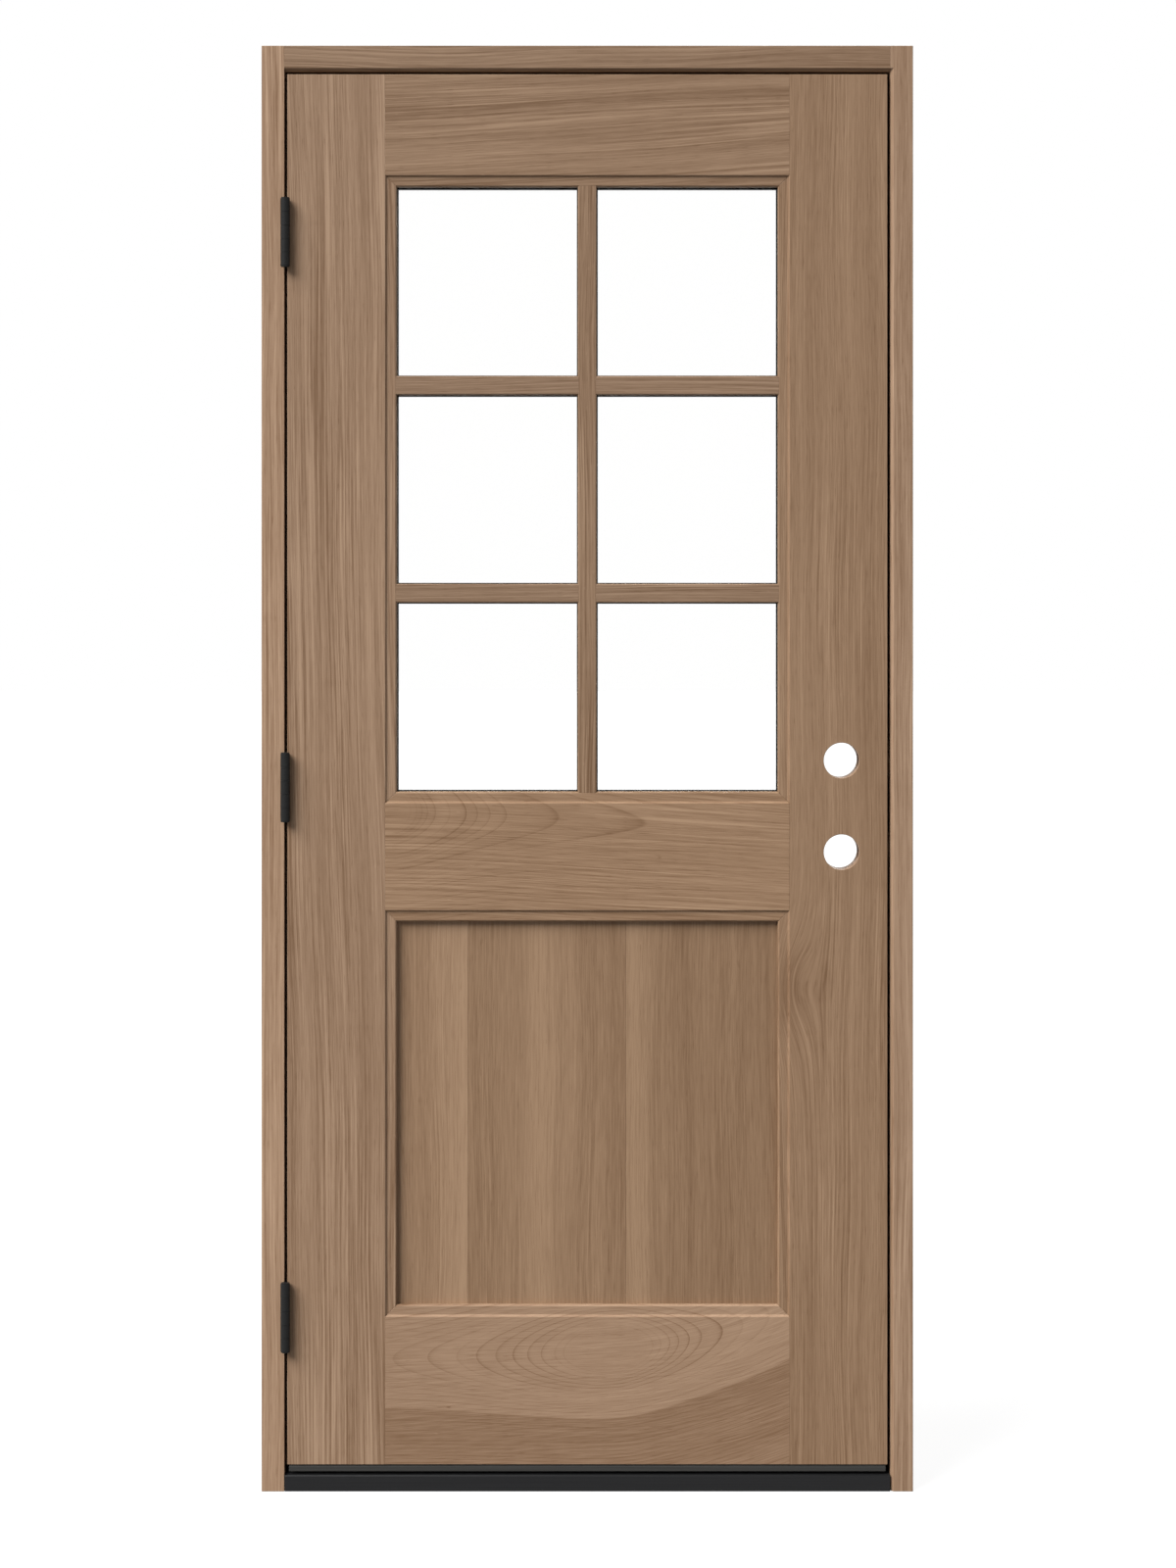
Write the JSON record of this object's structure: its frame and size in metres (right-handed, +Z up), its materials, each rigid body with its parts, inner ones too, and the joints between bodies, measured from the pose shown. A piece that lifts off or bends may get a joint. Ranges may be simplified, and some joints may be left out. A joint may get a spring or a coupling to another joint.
{
  "type": "glazed front door",
  "caption": "Pre-hung timber front door: divided lites over a flat panel, hung on butt hinges in a rabbeted frame with weatherstrip and aluminium sill, bored for locks.",
  "frame": {"origin": "on the floor, midway between the jambs and midway through the frame's depth", "axes": "+X from the hinge side to the lock side, +Y from the outside to the inside, +Z up"},
  "size_m": [0.9924, 0.1311, 2.2025],
  "materials": {
    "timber": "bare sanded hardwood",
    "seal_vinyl": "matte",
    "glazing_rubber": "matte",
    "black_steel": "satin black",
    "zinc_steel": "zinc plated",
    "sill_metal": "dark anodised",
    "composite": "matte",
    "sweep_metal": "grey anodised",
    "clear_glass": "clear",
    "spacer_metal": "black anodised"
  },
  "bodies": {
    "frame": {"hinge_jamb": "timber", "strike_jamb": "timber", "head_jamb": "timber", "hinge_side_seal": "seal_vinyl", "strike_side_seal": "seal_vinyl", "head_seal": "seal_vinyl", "sill_base": "composite", "sill_deck": "sill_metal", "sill_saddle": "sill_metal", "sill_seal": "seal_vinyl", "head_screws": "zinc_steel", "sill_screws": "zinc_steel", "top_hinge_frame_leaf": "black_steel", "middle_hinge_frame_leaf": "black_steel", "bottom_hinge_frame_leaf": "black_steel", "top_hinge_pin": "black_steel", "middle_hinge_pin": "black_steel", "bottom_hinge_pin": "black_steel", "hinge_frame_screws": "black_steel"},
    "door": {"hinge_stile": "timber", "lock_stile": "timber", "top_rail": "timber", "lock_rail": "timber", "bottom_rail": "timber", "rail_dowels": "timber", "hinge_side_stave": "timber", "middle_stave": "timber", "lock_side_stave": "timber", "front_muntin_upright": "timber", "front_muntin_bars": "timber", "back_muntin_upright": "timber", "back_muntin_bars": "timber", "top_bead": "timber", "bottom_bead": "timber", "hinge_side_bead": "timber", "lock_side_bead": "timber", "sweep_fins": "seal_vinyl", "glass_edge_seal": "glazing_rubber", "setting_blocks": "glazing_rubber", "front_glazing_tape": "glazing_rubber", "back_glazing_tape": "glazing_rubber", "top_hinge_door_leaf": "black_steel", "middle_hinge_door_leaf": "black_steel", "bottom_hinge_door_leaf": "black_steel", "hinge_door_screws": "black_steel", "sweep_screws": "zinc_steel", "door_sweep": "sweep_metal", "outer_pane": "clear_glass", "inner_pane": "clear_glass", "glass_spacer": "spacer_metal", "glass_grid": "spacer_metal"}
  },
  "joints": [
    {"name": "door_swing", "type": "hinge", "parent": "frame", "child": "door", "pos_m": [-0.4594, -0.066, 0], "axis": [0, 0, -1], "range_deg": [0, 180]}
  ]
}
